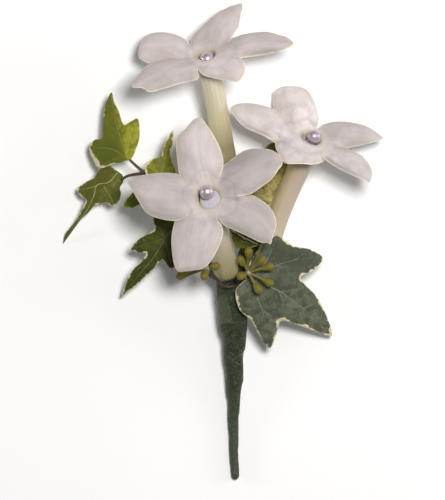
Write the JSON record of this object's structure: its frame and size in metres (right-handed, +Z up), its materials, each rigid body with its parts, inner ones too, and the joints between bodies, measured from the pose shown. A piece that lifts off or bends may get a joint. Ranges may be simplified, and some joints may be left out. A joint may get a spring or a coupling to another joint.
{
  "type": "boutonniere",
  "caption": "Small lapel spray of white star-shaped stephanotis florets with pearl pins, variegated ivy leaves and green buds, bound with tape on a tapering stem; it lies on its back.",
  "frame": {"origin": "under the middle of the whole, on the surface it lies on", "axes": "+Z up off the surface, +Y from the stem towards the top floret, +X to the right seen from above"},
  "size_m": [0.0872, 0.1296, 0.0365],
  "materials": {
    "petal": "satin",
    "cotton": "matte",
    "pearl": "gloss",
    "pin_steel": "satin",
    "taped_wire": "matte",
    "leaf_bright": "satin",
    "leaf_dark": "satin",
    "leaf_grey": "satin",
    "bud": "matte",
    "tape": "satin"
  },
  "bodies": {
    "root": {"floret_top": "petal", "floret_right": "petal", "floret_front": "petal", "cotton_top": "cotton", "cotton_right": "cotton", "cotton_front": "cotton", "pearl_top": "pearl", "pearl_right": "pearl", "pearl_front": "pearl", "pin_top": "pin_steel", "pin_right": "pin_steel", "pin_front": "pin_steel", "wire_top": "taped_wire", "wire_right": "taped_wire", "wire_front": "taped_wire", "ivy_sprig_left": "leaf_bright", "ivy_leaf_lower_left": "leaf_dark", "ivy_leaf_lower_right": "leaf_grey", "ivy_leaf_centre": "leaf_bright", "ivy_leaf_back": "leaf_dark", "bud_spray": "bud", "tape_wrap": "tape"}
  },
  "joints": []
}
